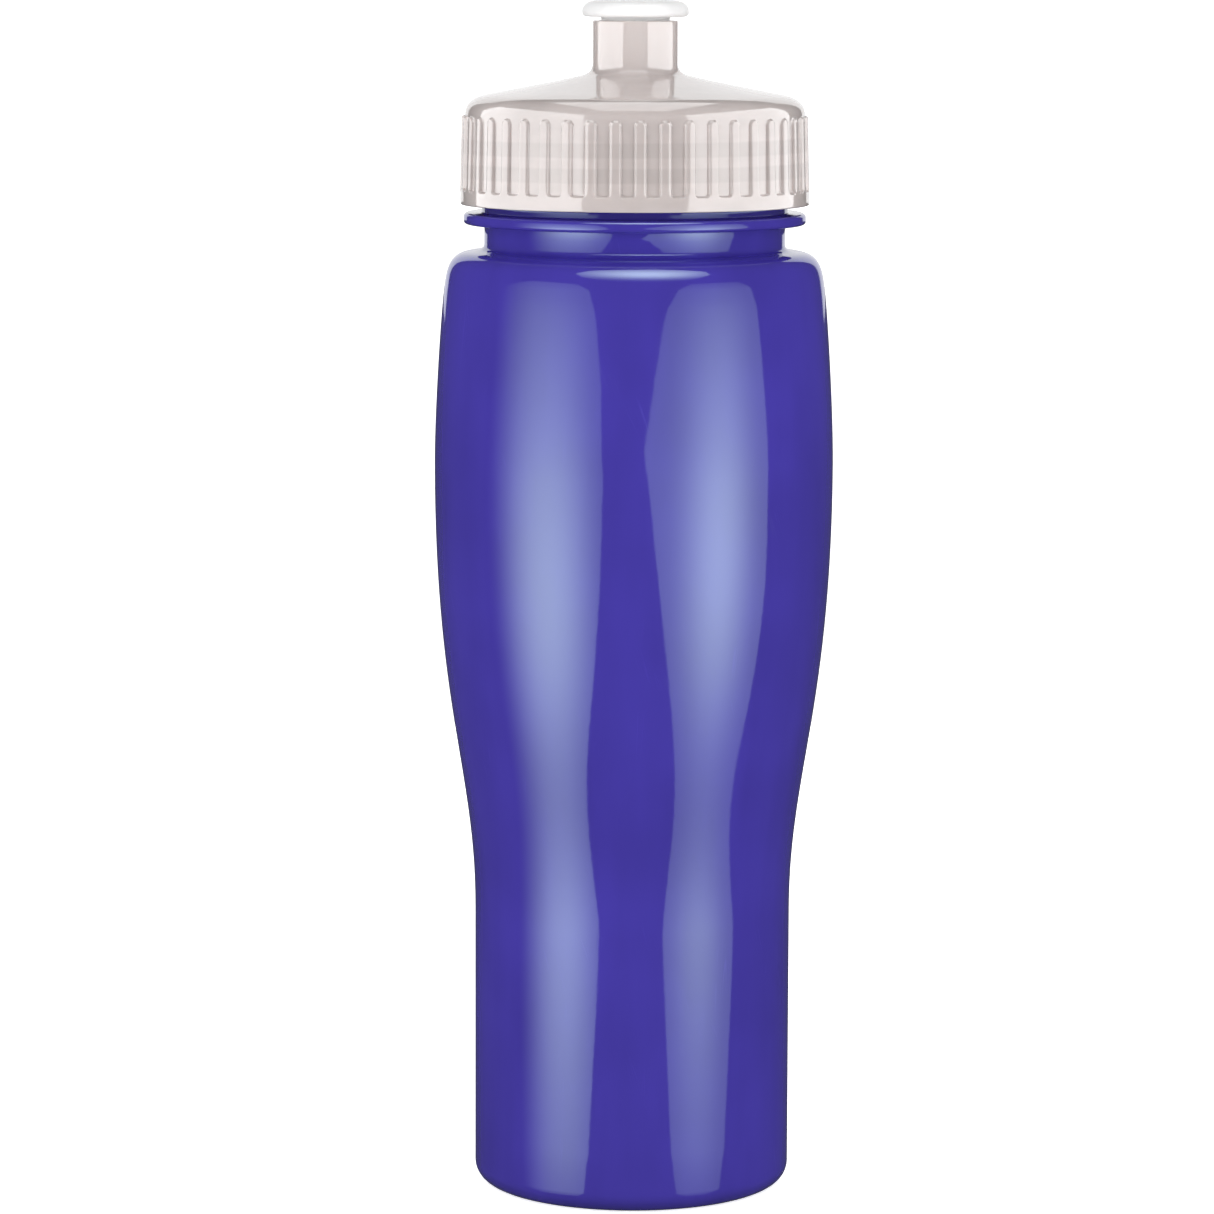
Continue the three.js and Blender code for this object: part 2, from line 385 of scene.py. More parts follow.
def bottle_finish(colours):
    """Gloss blow-moulded polyethylene: faint flow streaks, orange peel and handling scuffs."""
    finish = Finish(
        "bottle_blue_gloss",
        IOR=1.5,
        Specular_IOR_Level=1.0,
        Specular_Tint=(0.78, 1.0, 1.0, 1.0),
    )
    angle = finish.node("ShaderNodeMath", {"operation": "ARCTAN2"}, {0: finish.x, 1: finish.y * -1.0})
    around = angle * 35.0
    streaks = finish.noise(finish.vector(around / 9, finish.z / 60, 0.0), 1.0, 3.0)
    clouds = finish.noise(finish.place, 0.035, 2.0)
    tone = streaks * 0.4 + clouds * 0.6
    specks = finish.noise(finish.place, 2.2, 2.0, 0.6)
    deep = opaque(colours.bottle, 0.9)
    pale = opaque(colours.bottle, 1.12)
    body = finish.mix(finish.step(tone, 0.3, 0.7), deep, pale)
    scuffs = scratches(finish, around, finish.z, 0.32, 0.8, 45.0, 0.60)
    rubs = scratches(finish, around, finish.z, -0.06, 1.0, 60.0, 0.62)
    marks = finish.node("ShaderNodeMath", {"operation": "MAXIMUM"}, {0: scuffs, 1: rubs})
    worn = finish.mix(marks * 0.10, body, opaque(colours.bottle, 2.4))
    dust = finish.step(specks, 0.76, 0.82)
    finish.link("Base Color", finish.mix(dust * 0.10, worn, opaque(colours.bottle, 3.0)))
    haze = finish.noise(finish.place, 0.09, 4.0, 0.6)
    finish.link("Roughness", 0.045 + haze * 0.035 + marks * 0.10)
    peel = finish.noise(finish.place, 0.55, 2.0)
    finish.bump(peel * 0.5 + streaks * 1.4 - marks * 0.25, 0.02 * MM, 0.6)
    return finish.material


def lid_finish(colours):
    """Milky translucent polypropylene, with painted shade in two bands that climb with the thread behind the
    wall, and the tower painted lighter.
    """
    finish = Finish(
        "lid_frosted",
        IOR=1.5,
        Specular_IOR_Level=1.0,
        Coat_Weight=0.6,
        Coat_Roughness=0.06,
        Subsurface_Weight=0.3,
        Subsurface_Radius=(1.0, 0.85, 0.8),
        Subsurface_Scale=2.5 * MM,
    )
    angle = finish.node("ShaderNodeMath", {"operation": "ARCTAN2"}, {0: finish.y, 1: finish.x})
    climb = angle * (THREAD_PITCH / MM / math.tau)
    # Painted shade: two darker bands that climb with the thread, where the thread ridges and the thicker
    # wall stand behind the skirt.
    painted_thread_shade = 0.0
    for middle in (202.4, 207.2):
        height = finish.z - climb * 0.3
        near = finish.node("ShaderNodeMath", {"operation": "ABSOLUTE"}, {0: height - middle})
        painted_thread_shade = (1 - finish.step(near, 1.1, 1.7)) + painted_thread_shade
    flow = finish.noise(finish.vector(finish.x / 7, finish.y / 7, finish.z / 3), 1.0, 3.0)
    cloud = finish.noise(finish.place, 0.08, 3.0)
    milk = finish.mix(
        finish.step(flow * 0.5 + cloud * 0.5, 0.32, 0.68),
        opaque(colours.lid, 0.95),
        opaque(colours.lid, 1.06),
    )
    # The painted thread shade darkens the milky colour here, at half strength.
    milk_with_painted_thread_shade = finish.mix(painted_thread_shade * 0.5, milk, opaque(colours.lid, 0.84))
    # Painted light: the tower above the cone is painted lighter than the rest of the lid.
    tower = finish.step(finish.z, 219.0, 223.0)
    finish.link("Base Color", finish.mix(tower, milk_with_painted_thread_shade, opaque(colours.lid, 1.22)))
    finish.link("Roughness", 0.06 + cloud * 0.05)
    finish.bump(flow * 0.8 + finish.noise(finish.place, 1.4, 2.0) * 0.15, 0.02 * MM, 0.5)
    return finish.material


def valve_finish(colours):
    """Satin white polyethylene with a fine moulded skin."""
    finish = Finish(
        "valve_white_satin",
        IOR=1.5,
        Subsurface_Weight=0.25,
        Subsurface_Radius=(1.0, 0.95, 0.9),
        Subsurface_Scale=1.5 * MM,
    )
    cloud = finish.noise(finish.place, 0.25, 3.0)
    grain = finish.noise(finish.place, 3.0, 2.0)
    shade = finish.mix(
        finish.step(cloud, 0.3, 0.7), opaque(colours.valve, 0.97), opaque(colours.valve, 1.03)
    )
    finish.link("Base Color", shade)
    finish.link("Roughness", 0.32 + cloud * 0.12)
    finish.bump(grain, 0.015 * MM, 0.5)
    return finish.material


def washer_finish(colours):
    """Off-white closed-cell foam."""
    finish = Finish("washer_foam", IOR=1.45)
    cells = finish.node(
        "ShaderNodeTexVoronoi", {"feature": "F1"}, {"Vector": finish.place, "Scale": 2.6}
    )
    cloud = finish.noise(finish.place, 0.3, 2.0)
    pale, dark = opaque(colours.washer, 1.05), opaque(colours.washer, 0.86)
    shade = finish.mix(cells * 0.5 + cloud * 0.3, pale, dark)
    finish.link("Base Color", shade)
    finish.link("Roughness", 0.6 + cells * 0.3)
    finish.bump(cells, 0.08 * MM, 0.8)
    return finish.material


# ---------------------------------------------------------------------------- the bottle

LOWER_TOP = 55.4  # mm: heights where the side's curves meet
BELLY_HEIGHT = 144.2
SHOULDER_HEIGHT = 180.0
SHOULDER_RADIUS = 37.22
RING_LOW = 190.5  # mm: the parting line stops under the neck ring
THREAD_START = 201.84 * MM


def side_outline(sizes, inset):
    """Foot corner, straight lower body, waist, belly and upper body, set in by inset, in mm."""
    grip = sizes.grip_radius / MM - inset
    belly = sizes.belly_radius / MM - inset
    return (
        arc_points((grip + inset - 4, 4), 4 - inset, -90, 0, 9)
        + [(grip, height) for height in (12, 24, 36, 46)]
        + curve_points((grip, LOWER_TOP), (grip, 83.1), (belly, 95.0), (belly, BELLY_HEIGHT), 30)
        + curve_points((belly, BELLY_HEIGHT), (belly, 154.8), (belly - 1.4, 176.2),
                       (SHOULDER_RADIUS - inset, SHOULDER_HEIGHT), 14)
    )


def outside_outline(sizes):
    neck = sizes.neck_radius / MM
    rim = sizes.rim_height / MM
    throat = neck - 0.45
    return (
        curve_points((0, 7), (10.7, 7), (18.2, 5.0), (22.5, 1.0), 12)
        + curve_points((22.5, 1.0), (22.9, 0.45), (23.4, 0), (24.2, 0), 4)
        + side_outline(sizes, 0)
        + curve_points((SHOULDER_RADIUS, SHOULDER_HEIGHT), (36.85, 183.3), (35.9, 185.35), (33.0, 185.9), 14)
        + curve_points((33.0, 185.9), (31.0, 186.25), (throat, 186.2), (throat, 187.4), 7)
        + [(throat, 189.5)]
        + arc_points((throat + 0.4, 190.95), 0.4, 180, 90, 3)
        + arc_points((32.85, 192.1), 0.75, -90, 0, 5)
        + arc_points((32.75, 192.75), 0.85, 0, 90, 5)
        + arc_points((neck + 0.35, 193.95), 0.35, -90, -180, 3)
        + [(neck, 198.0), (neck, 204.0)]
        + arc_points((neck - 0.6, rim - 0.6), 0.6, 0, 90, 4)
    )


def inside_outline(sizes):
    bore = sizes.neck_bore / MM
    rim = sizes.rim_height / MM
    wall = sizes.body_wall / MM
    return (
        curve_points((0, 8.3), (10.7, 8.3), (18.6, 6.2), (23.2, 1.9), 8)
        + side_outline(sizes, wall)
        + curve_points((SHOULDER_RADIUS - wall, SHOULDER_HEIGHT), (36.0, 182.6), (35.0, 184.2),
                       (32.6, 184.6), 8)
        + curve_points((32.6, 184.6), (30.5, 184.9), (bore, 185.2), (bore, 187.5), 5)
        + arc_points((bore + 0.4, rim - 0.4), 0.4, 180, 90, 3)
    )


def raise_seams(bottle, outside):
    """The mould's parting line: a fine ridge up both sides and across the foot."""
    skin = {}
    for radius, height in outside:
        skin.setdefault(round(height / MM), []).append((radius, height))

    def on_outside(co):
        radius = abs(co.x)
        level = round(co.z / MM)
        close = (p for near in (level - 1, level, level + 1) for p in skin.get(near, []))
        return any(math.dist((radius, co.z), p) < 5 * MERGE for p in close)

    def on_seam(co):
        return abs(co.y) < MERGE and 4 * MM < abs(co.x) and co.z < RING_LOW * MM and on_outside(co)

    vertices = bottle.data.vertices
    select_where(bottle, "edges", lambda e: all(on_seam(vertices[i].co) for i in e.vertices))
    bpy.ops.mesh.bevel(offset=0.16 * MM, segments=2, profile=0.5, affect="EDGES")
    leave_edit()
    select_where(bottle, "vertices", lambda v: on_seam(v.co))
    bpy.ops.transform.shrink_fatten(value=-0.07 * MM)
    leave_edit()


class MESH_OT_squeeze_bottle_body(bpy.types.Operator):
    """Blows the bottle: waisted body, push-up foot, neck ring, neck and thread"""

    bl_idname = "mesh.squeeze_bottle_body"
    bl_label = "Bottle"
    bl_options = {"REGISTER", "UNDO"}

    def execute(self, context):
        sizes = context.scene.squeeze_bottle_sizes
        material = bottle_finish(context.scene.squeeze_bottle_colours)
        outside = tidy(outside_outline(sizes))
        outline = outside + tidy(inside_outline(sizes))[::-1]
        bottle = turned_piece("bottle_body", outline, sizes.facets)
        raise_seams(bottle, outside)
        finish_piece(bottle, "bottle", "bottle_blue", material, "bottle")
        thread = screw_thread(
            "neck_thread",
            foot=sizes.neck_radius - 0.2 * MM,
            crest=sizes.neck_radius + 1.25 * MM,
            foot_width=2.2 * MM,
            crest_width=1.0 * MM,
            start_angle=math.pi,
            start_height=THREAD_START,
            turns=1.5,
        )
        finish_piece(thread, "bottle", "bottle_blue", material)
        return {"FINISHED"}


# ---------------------------------------------------------------------------- the lid

RIB_FOOT = 198.1  # mm: the top of the plain band, where the panels between the ribs start
RIB_TOP = 212.5
PANEL_FOOT_RADIUS = 33.5
PANEL_TOP_RADIUS = 33.3
RIB_COLUMNS = (0.0, 0.45, 0.8, 0.97, 1.1, 1.24, 1.5)  # mm from the rib's middle
FRONT_RIB = math.radians(-88.2)


def panel_radius(height):
    """The skirt's radius between the ribs, in mm."""
    share = (height - RIB_FOOT) / (RIB_TOP - RIB_FOOT)
    return PANEL_FOOT_RADIUS + (PANEL_TOP_RADIUS - PANEL_FOOT_RADIUS) * min(1.0, max(0.0, share))


def rib_rise(across, height, half):
    """How far a point of the skirt stands towards the rib's face: 0 on a panel, 1 on a rib."""
    arch = RIB_TOP - half
    beside = abs(across) - half if height < arch else math.hypot(across, height - arch) - half
    above_band = height - RIB_FOOT
    corner = 0.5
    inner = min(beside, above_band)
    if beside < corner and above_band < corner:
        inner = corner - math.hypot(corner - beside, corner - above_band)
    edge = min(1.0, max(0.0, (0.16 - inner) / 0.34))
    crown = 0.12 * min(1.0, (across / half) ** 2) if height > RIB_FOOT + 0.6 and beside < 0 else 0.0
    return edge * edge * (3 - 2 * edge) - crown


def lid_outline(sizes):
    """The lid's closed section in mm: skirt, rounded shoulder, cone, tower, and back down inside."""
    bottom = sizes.bottom / MM
    edge = sizes.radius / MM
    tower = sizes.tower_radius / MM
    top = sizes.tower_top / MM
    low_rows = [197.2, 197.5, 197.75, 197.9, 198.02, 198.14, 198.26, 198.4, 198.55, 198.7, 199.2]
    arch_rows = [209.6 + 0.19 * i for i in range(17)]
    rows = low_rows + [201.0, 204.0, 207.0] + arch_rows
    return (
        [(32.3, bottom)]
        + arc_points((edge - 0.35, bottom + 0.35), 0.35, -90, 0, 4)
        + [(edge, 196.4)]
        + [(panel_radius(height), height) for height in rows]
        + curve_points((33.3, 212.8), (33.25, 214.4), (32.4, 215.75), (29.5, 216.5), 12)
        + [(25.0, 217.37), (20.0, 218.35), (15.0, 219.32), (tower + 2.4, 220.28)]
        + curve_points((tower + 2.4, 220.28), (tower + 0.9, 220.6), (tower, 221.2), (tower, 222.6), 7)
        + [(tower, 226.0)]
        + arc_points((tower - 0.3, top - 0.3), 0.3, 0, 90, 3)
        + [(7.2, top), (7.0, top - 0.2), (7.0, top - 1.2), (7.45, top - 1.6), (7.45, 216.0), (8.37, 216.0)]
        + [(8.37, 218.4)]
        + curve_points((8.37, 218.4), (9.2, 218.6), (12.0, 218.3), (26.4, 215.35), 4)
        + [(26.4, 212.8), (26.5, 212.7), (27.2, 212.7), (27.3, 212.8), (27.3, 214.2), (31.55, 214.2)]
        + [(31.75, 214.0), (31.75, 205.0), (31.75, bottom + 0.6), (32.3, bottom)]
    )


def raise_rib(sector, sizes):
    """Pulls the middle of one sector of the skirt out into a rib, above the plain band."""
    half = sizes.rib_width / MM / 2
    for vertex in sector.data.vertices:
        height = vertex.co.z / MM
        radius = math.hypot(vertex.co.x, vertex.co.y) / MM
        if not 196.9 < height < RIB_TOP + 0.5 or radius < 33.0:
            continue
        across = math.atan2(vertex.co.y, vertex.co.x) * radius
        share = (height - RIB_FOOT) / (RIB_TOP - RIB_FOOT)
        face = sizes.radius / MM - 0.35 * min(1.0, max(0.0, share))
        raised = radius + (face - radius) * rib_rise(across, height, half)
        vertex.co.x *= raised / radius
        vertex.co.y *= raised / radius


def space_columns(sector, pitch_angle, columns):
    """Turns the sector's even columns so that they gather at the rib's sides."""
    count = 2 * len(columns)
    for vertex in sector.data.vertices:
        radius = math.hypot(vertex.co.x, vertex.co.y)
        place = math.atan2(vertex.co.y, vertex.co.x) / pitch_angle * count
        index = round(abs(place))
        if index < len(columns):
            angle = math.copysign(columns[index] * MM / (34 * MM), place)
        else:
            angle = math.copysign(pitch_angle / 2, place)
        vertex.co.x = radius * math.cos(angle)
        vertex.co.y = radius * math.sin(angle)


def lid_shell(sizes):
    """One rib's sector of the lid, copied round the axis and merged into one skin."""
    pitch_angle = math.tau / sizes.rib_count
    steps = 2 * len(RIB_COLUMNS)
    outline = tidy(lid_outline(sizes))
    start = pitch_angle / 2
    lid = start_piece("lid_shell", (outline[0][0], 0, outline[0][1]))
    draw_outline(outline, closed=True)
    leave_edit()
    lid.data.transform(Matrix.Rotation(start, 4, "Z"))
    edit()
    bpy.ops.mesh.select_all(action="SELECT")
    bpy.ops.mesh.spin(steps=steps, angle=pitch_angle, center=(0, 0, 0), axis=(0, 0, 1))
    leave_edit()
    if min(v.co.y for v in lid.data.vertices) > 0:
        raise RuntimeError("the lid's sector was spun the wrong way")
    space_columns(lid, pitch_angle, RIB_COLUMNS)
    raise_rib(lid, sizes)
    edit()
    bpy.ops.mesh.select_all(action="SELECT")
    bpy.ops.mesh.spin(
        steps=sizes.rib_count - 1,
        dupli=True,
        angle=math.tau - pitch_angle,
        center=(0, 0, 0),
        axis=(0, 0, 1),
    )
    close_skin()
    leave_edit()
    lid.data.transform(Matrix.Rotation(FRONT_RIB, 4, "Z"))
    return lid


def sealing_pin(sizes):
    """The pin that plugs the valve when it is shut, on three spokes across the tower's foot."""
    top = VALVE_HIGH.z / MM - 1.4
    outline = tidy(
        [(0, 215.9), (2.0, 215.9), (2.4, 216.3), (2.4, 224.0)]
        + arc_points((1.8, top - 0.6), 0.6, 0, 90, 4)
        + [(1.2, top), (0.9, top - 0.25), (0, top - 0.25)]
    )
    pin = turned_piece("lid_sealing_pin", outline, 48)
    for i in range(3):
        bpy.ops.object.select_all(action="DESELECT")
        bpy.ops.mesh.primitive_cube_add(size=1, location=(4.8 * MM, 0, 216.8 * MM))
        spoke = bpy.context.object
        spoke.scale = (6.0 * MM, 1.5 * MM, 1.5 * MM)
        bpy.ops.object.transform_apply(location=True, rotation=True, scale=True)
        edit()
        bpy.ops.mesh.select_all(action="SELECT")
        bpy.ops.mesh.bevel(offset=0.25 * MM, segments=2, affect="EDGES")
        leave_edit()
        spoke.data.transform(Matrix.Rotation(i * math.tau / 3, 4, "Z"))
        pin.select_set(True)
        bpy.context.view_layer.objects.active = pin
        bpy.ops.object.join()
    return pin


class MESH_OT_squeeze_bottle_lid(bpy.types.Operator):
    """Moulds the lid: ribbed skirt, cone, valve tower, sealing pin and inside thread"""

    bl_idname = "mesh.squeeze_bottle_lid"
    bl_label = "Lid"
    bl_options = {"REGISTER", "UNDO"}

    def execute(self, context):
        sizes = context.scene.squeeze_lid_sizes
        material = lid_finish(context.scene.squeeze_bottle_colours)
        finish_piece(lid_shell(sizes), "lid", "lid_frosted", material, "screw_lid")
        finish_piece(sealing_pin(sizes), "lid", "lid_frosted", material)
        thread = screw_thread(
            "lid_thread",
            foot=31.95 * MM,
            crest=30.45 * MM,
            foot_width=1.5 * MM,
            crest_width=0.7 * MM,
            start_angle=math.pi / 2,
            start_height=THREAD_START - THREAD_PITCH / 4 - 1.6 * MM,
            turns=1.5,
        )
        finish_piece(thread, "lid", "lid_frosted", material)
        return {"FINISHED"}


# ---------------------------------------------------------------------------- washer and valve


class MESH_OT_squeeze_bottle_washer(bpy.types.Operator):
    """Cuts the foam washer that seals the lid on the bottle's rim"""

    bl_idname = "mesh.squeeze_bottle_washer"
    bl_label = "Sealing washer"
    bl_options = {"REGISTER", "UNDO"}

    def execute(self, context):
        low, high = WASHER_LOW.z / MM, WASHER_HIGH.z / MM
        inner, outer = 27.6, WASHER_HIGH.x / MM
        outline = tidy(
            arc_points((inner + 0.15, low + 0.15), 0.15, 180, 270, 2)
            + [(29.5, low)]
            + arc_points((outer - 0.15, low + 0.15), 0.15, -90, 0, 2)
            + arc_points((outer - 0.15, high - 0.15), 0.15, 0, 90, 2)
            + [(29.5, high)]
            + arc_points((inner + 0.15, high - 0.15), 0.15, 90, 180, 2)
            + [(inner, low + 0.15)]
        )
        washer = turned_piece("washer_foam_ring", outline, 128, closed=True)
        material = washer_finish(context.scene.squeeze_bottle_colours)
        finish_piece(washer, "washer", "washer_foam", material, "sealing_washer")
        return {"FINISHED"}


def valve_outline(sizes):
    """The valve's closed section in mm: stem, bead, flange, drinking hole, and back down inside."""
    top = sizes.top / MM
    flange = sizes.flange_radius / MM
    stem = sizes.stem_radius / MM
    under = top - 3.3
    return (
        [(5.3, 219.6), (stem - 0.35, 219.6), (stem - 0.1, 219.85), (7.1, 222.3)]
        + arc_points((6.95, 222.6), 0.2, -30, 60, 4)
        + [(stem, 223.1), (stem, 228.0), (stem, under - 0.5)]
        + arc_points((stem + 0.45, under - 0.4), 0.45, 180, 90, 4)
        + [(flange - 1.6, under + 0.02)]
        + curve_points((flange - 1.0, under + 0.05), (flange - 0.35, under + 0.1),
                       (flange, under + 0.45), (flange, under + 1.05), 7)
        + curve_points((flange, under + 1.05), (flange, under + 2.1),
                       (flange - 0.7, top - 0.25), (flange - 2.6, top - 0.05), 10)
        + [(flange - 4.0, top), (4.9, top)]
        + curve_points((4.9, top), (3.6, top - 0.02), (2.75, top - 0.35), (2.7, top - 1.1), 6)
        + [(2.7, top - 2.3), (3.0, top - 2.5), (5.3, top - 3.6), (5.3, 219.6)]
    )


class MESH_OT_squeeze_bottle_valve(bpy.types.Operator):
    """Moulds the push-pull valve: stem, snap bead, flange and drinking hole"""

    bl_idname = "mesh.squeeze_bottle_valve"
    bl_label = "Push-pull valve"
    bl_options = {"REGISTER", "UNDO"}

    def execute(self, context):
        outline = tidy(valve_outline(context.scene.squeeze_valve_sizes))
        valve = turned_piece("valve_push_pull", outline, 128, closed=True)
        material = valve_finish(context.scene.squeeze_bottle_colours)
        finish_piece(valve, "valve", "valve_white", material, "push_pull_valve")
        return {"FINISHED"}


# ---------------------------------------------------------------------------- the stage


LEFT_AZIMUTH = -52  # degrees round the bottle from the front
RIGHT_AZIMUTH = 45
CARD_DISTANCE = 0.29
FILL_DISTANCE = 0.35
FILL_HEIGHT = 0.14
LID_BOX_DISTANCE = 0.15  # nearer than the cards, so that they don't stand in front
FLOOR_RADIUS = 30
TOP_CARD = arc_points((0, -400), 330, 0, 330, 11)
LEFT_CARD = (
    (60, -160), (112, -62), (158, -12), (193, 50), (208, 112), (196, 170), (141, 246), (90, 285),
    (-60, 285), (-150, 240), (-230, 140), (-240, 20), (-200, -60), (-100, -160),
)
RIGHT_CARD = (
    (60, -160), (120, -65), (172, -8), (200, 55), (192, 140), (140, 240), (100, 285),
    (-60, 285), (-103, 245), (-165, 196), (-240, 138), (-85, -60), (-20, -160),
)
BACK_CARD = ((450, 130), (450, 780), (-450, 780), (-450, 130))


def facing_axis(azimuth, distance):
    """The place of an upright card that faces the bottle. Azimuth 0 is the front, and it grows right."""
    upright = Matrix.Translation((0, -distance, 0)) @ Matrix.Rotation(math.radians(90), 4, "X")
    return Matrix.Rotation(math.radians(azimuth), 4, "Z") @ upright


def glow_card(name, place, outline, glow):
    """The front cloth of a soft box, which only shows in reflections.

    The outline is in mm on the card. glow() gives the brightness over the card from its Finish."""
    bpy.ops.object.select_all(action="DESELECT")
    bpy.ops.mesh.primitive_circle_add(vertices=len(outline), radius=1, fill_type="NGON")
    card = bpy.context.object
    card.name = card.data.name = name
    for vertex, (along, height) in zip(card.data.vertices, outline):
        vertex.co = (along * MM, height * MM, 0)
    finish = Finish(name)
    cloth = finish.node("ShaderNodeEmission", {}, {"Strength": glow(finish)})
    out = next(n for n in finish.tree.nodes if n.type == "OUTPUT_MATERIAL")
    finish.tree.links.new(cloth.socket, out.inputs["Surface"])
    card.data.materials.append(finish.material)
    card.matrix_world = place
    card.visible_camera = card.visible_diffuse = card.visible_shadow = card.visible_transmission = False


def hot_spot(finish, along, height, reach_along, reach_height):
    """Brightness that falls away from 1 round the lamp behind the cloth, in mm."""
    side = (finish.x - along) / reach_along
    rise = (finish.y - height) / reach_height
    return finish.node("ShaderNodeMath", {"operation": "EXPONENT"}, {0: (side * side + rise * rise) * -1.0})


def left_glow(finish):
    spill = finish.step(finish.x, -200.0, -20.0)
    return hot_spot(finish, 26, 63, 121, 115) * 3.5 + spill * 0.54


def right_glow(finish):
    return hot_spot(finish, 10, 82, 96, 101) * 3.1 + hot_spot(finish, 0, 82, 5000, 219)


def top_glow(finish):
    return hot_spot(finish, 0, -285, 240, 200) * 6.0


def soft_box(name, place, aim, width, tall, brightness, sheen):
    """A rectangular studio light that shows either as sheen only or on matte surfaces only."""
    bpy.ops.object.select_all(action="DESELECT")
    bpy.ops.object.light_add(type="AREA", location=place)
    light = bpy.context.object
    light.name = name
    light.rotation_euler = (Vector(aim) - Vector(place)).to_track_quat("-Z", "Y").to_euler()
    light.data.shape = "RECTANGLE"
    light.data.size = width
    light.data.size_y = tall
    light.data.energy = brightness * math.pi * width * tall
    light.visible_camera = False
    light.visible_glossy = sheen
    light.visible_diffuse = not sheen
    return light


def share_light(light, link_state):
    """Keeps a light off the lid, or gives it to the lid only."""
    group = bpy.data.collections.new(light.name + "_light")
    for name in ("lid_shell", "lid_sealing_pin", "lid_thread"):
        group.objects.link(bpy.data.objects[name])
    for member in group.collection_objects:
        member.light_linking.link_state = link_state
    light.light_linking.receiver_collection = group


def lid_sheen():
    """The milky lid's own sheen: a tall panel on either side and a small one overhead."""
    for name in ("left_card", "right_card", "top_card"):
        share_light(bpy.data.objects[name], "EXCLUDE")
    for name, side in (("lid_left_box", -1), ("lid_right_box", 1)):
        place = Vector((LID_BOX_DISTANCE * side, -0.075, 0.16))
        aim = (0, place.y, place.z)
        panel = soft_box(name, place, aim, width=0.31, tall=0.32, brightness=2.4, sheen=True)
        share_light(panel, "INCLUDE")
    overhead = soft_box(
        "lid_top_box", (0, 0, 0.46), (0, 0, 0), width=0.19, tall=0.36, brightness=1.5, sheen=True
    )
    share_light(overhead, "INCLUDE")


def matte_light():
    """Soft light for the matte colours, from both sides of the front and from behind."""
    height = Vector((0, 0, FILL_HEIGHT))
    for name, azimuth, distance, size, brightness in (
        ("left_fill", LEFT_AZIMUTH, FILL_DISTANCE, 0.30, 2.6),
        ("right_fill", RIGHT_AZIMUTH, FILL_DISTANCE, 0.30, 2.6),
        ("back_fill", 180, 0.60, 0.60, 1.6),
    ):
        place = facing_axis(azimuth, distance).translation + height
        soft_box(name, place, height, size, size, brightness, sheen=False)


def back_card():
    """White paper behind the bottle, which only shows as sheen on surfaces that face up."""
    glow_card("back_card", facing_axis(180, 0.9), BACK_CARD, lambda finish: 1.0)


def studio_floor():
    """White sweep paper that glows a little, so it stays white right up to the horizon."""
    bpy.ops.object.select_all(action="DESELECT")
    bpy.ops.mesh.primitive_circle_add(vertices=96, radius=FLOOR_RADIUS, fill_type="NGON")
    floor = bpy.context.object
    floor.name = floor.data.name = "studio_floor"
    finish = Finish("floor_matte_white", Roughness=0.9, Specular_IOR_Level=0.1, Emission_Strength=0.7)
    finish.shader.inputs["Emission Color"].default_value = (1, 1, 1, 1)
    paper = finish.noise(finish.place, 0.02, 3.0)
    finish.link("Base Color", finish.mix(paper, (0.93, 0.93, 0.93, 1), (0.96, 0.96, 0.96, 1)))
    floor.data.materials.append(finish.material)
    floor.visible_glossy = floor.visible_diffuse = False


def studio_world(scene):
    """White to the camera, dark in reflections, and a soft light from above on everything else."""
    world = scene.world or bpy.data.worlds.new("studio")
    scene.world = world
    world.use_nodes = True
    nodes, links = world.node_tree.nodes, world.node_tree.links
    nodes.clear()

    def glow(strength):
        light = nodes.new("ShaderNodeBackground")
        light.inputs["Color"].default_value = (1, 1, 1, 1)
        light.inputs["Strength"].default_value = strength
        return light

    def either(factor, first, second):
        mix = nodes.new("ShaderNodeMixShader")
        links.new(factor, mix.inputs[0])
        links.new(first.outputs[0], mix.inputs[1])
        links.new(second.outputs[0], mix.inputs[2])
        return mix

    rays = nodes.new("ShaderNodeLightPath").outputs
    direction = nodes.new("ShaderNodeTexCoord").outputs["Generated"]
    upward = nodes.new("ShaderNodeSeparateXYZ")
    links.new(direction, upward.inputs[0])
    height = nodes.new("ShaderNodeMapRange")
    height.inputs["From Min"].default_value = -1
    links.new(upward.outputs["Z"], height.inputs["Value"])
    room = either(height.outputs[0], glow(LIGHT_FROM_BELOW), glow(LIGHT_FROM_ABOVE))
    matte = either(rays["Is Glossy Ray"], room, glow(ROOM_GLINT))
    seen = either(rays["Is Camera Ray"], matte, glow(1.0))
    out = nodes.new("ShaderNodeOutputWorld")
    links.new(seen.outputs[0], out.inputs["Surface"])


def studio_camera(scene):
    """A long lens a metre away, a little above the bottle and looking slightly down on it."""
    bpy.ops.object.select_all(action="DESELECT")
    bpy.ops.object.camera_add(location=(0, -1.0, 0.245))
    camera = bpy.context.object
    camera.name = "studio_camera"
    camera.data.lens = 150.9
    camera.data.sensor_width = 36
    aim = Vector((-0.0052, 0, 0.1155)) - camera.location
    roll = Matrix.Rotation(math.radians(-0.18), 4, aim)
    camera.matrix_world = (
        Matrix.Translation(camera.location) @ roll @ aim.to_track_quat("-Z", "Y").to_matrix().to_4x4()
    )
    camera.data.clip_start = 0.01
    camera.data.clip_end = 200
    scene.camera = camera


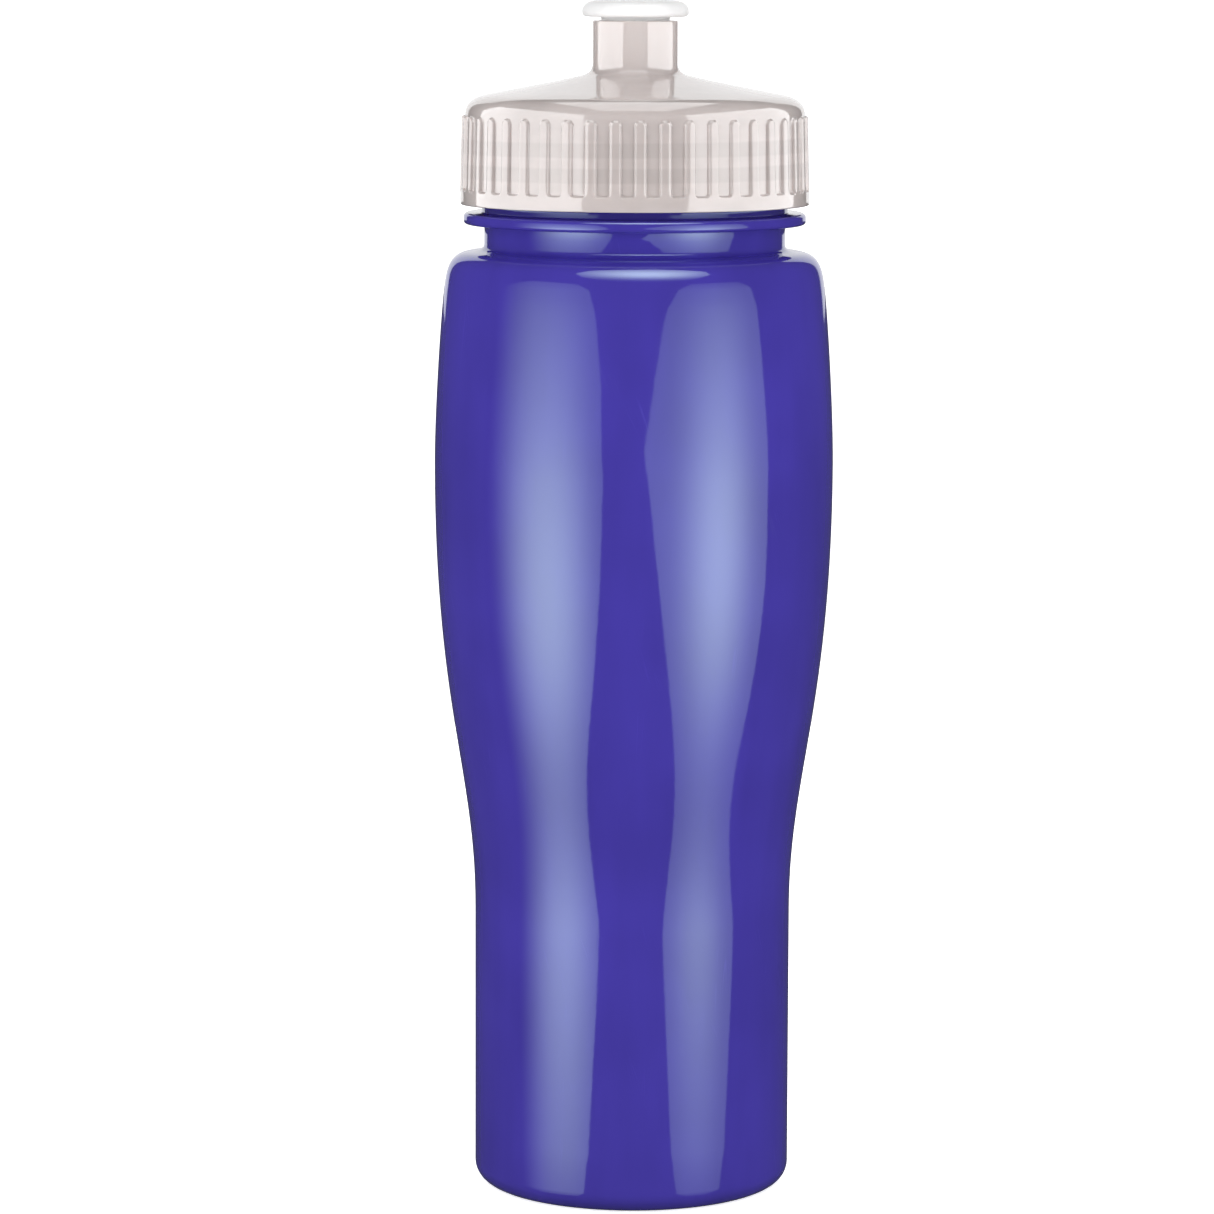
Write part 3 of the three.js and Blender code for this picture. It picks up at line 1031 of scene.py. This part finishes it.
class SCENE_OT_squeeze_bottle_stage(bpy.types.Operator):
    """Sets the pale floor, the soft boxes and the camera"""

    bl_idname = "scene.squeeze_bottle_stage"
    bl_label = "Studio stage"
    bl_options = {"REGISTER", "UNDO"}

    def execute(self, context):
        scene = context.scene
        studio_floor()
        studio_world(scene)
        scene.view_settings.view_transform = "Standard"
        glow_card("left_card", facing_axis(LEFT_AZIMUTH, CARD_DISTANCE), LEFT_CARD, left_glow)
        glow_card("right_card", facing_axis(RIGHT_AZIMUTH, CARD_DISTANCE), RIGHT_CARD, right_glow)
        glow_card("top_card", Matrix.Translation((0.05, 0, 0.55)), TOP_CARD, top_glow)
        lid_sheen()
        matte_light()
        back_card()
        studio_camera(scene)
        return {"FINISHED"}


# ---------------------------------------------------------------------------- the add-on


class VIEW3D_PT_squeeze_bottle(bpy.types.Panel):
    """The sidebar panel with the sizes, the colours and the steps that build the bottle"""

    bl_label = "Squeeze Bottle"
    bl_idname = "VIEW3D_PT_squeeze_bottle"
    bl_space_type = "VIEW_3D"
    bl_region_type = "UI"
    bl_category = "Squeeze Bottle"

    def draw(self, context):
        scene = context.scene
        for title, group in (
            ("Bottle", scene.squeeze_bottle_sizes),
            ("Lid", scene.squeeze_lid_sizes),
            ("Valve", scene.squeeze_valve_sizes),
            ("Colours", scene.squeeze_bottle_colours),
        ):
            box = self.layout.box()
            box.label(text=title)
            for name in group.__annotations__:
                box.prop(group, name)
        for operator in OPERATORS:
            self.layout.operator(operator.bl_idname)


OPERATORS = (
    MESH_OT_squeeze_bottle_body,
    MESH_OT_squeeze_bottle_lid,
    MESH_OT_squeeze_bottle_washer,
    MESH_OT_squeeze_bottle_valve,
    SCENE_OT_squeeze_bottle_stage,
)
GROUPS = {
    "squeeze_bottle_sizes": BottleSizes,
    "squeeze_lid_sizes": LidSizes,
    "squeeze_valve_sizes": ValveSizes,
    "squeeze_bottle_colours": FinishColours,
}


def register():
    for cls in (*GROUPS.values(), *OPERATORS, VIEW3D_PT_squeeze_bottle):
        bpy.utils.register_class(cls)
    for name, group in GROUPS.items():
        setattr(bpy.types.Scene, name, bpy.props.PointerProperty(type=group))


def unregister():
    for name in GROUPS:
        delattr(bpy.types.Scene, name)
    for cls in (VIEW3D_PT_squeeze_bottle, *reversed(OPERATORS), *reversed(GROUPS.values())):
        bpy.utils.unregister_class(cls)


def main():
    register()
    bpy.ops.mesh.squeeze_bottle_body()
    bpy.ops.mesh.squeeze_bottle_lid()
    bpy.ops.mesh.squeeze_bottle_washer()
    bpy.ops.mesh.squeeze_bottle_valve()
    bpy.ops.scene.squeeze_bottle_stage()


if __name__ == "__main__":
    main()
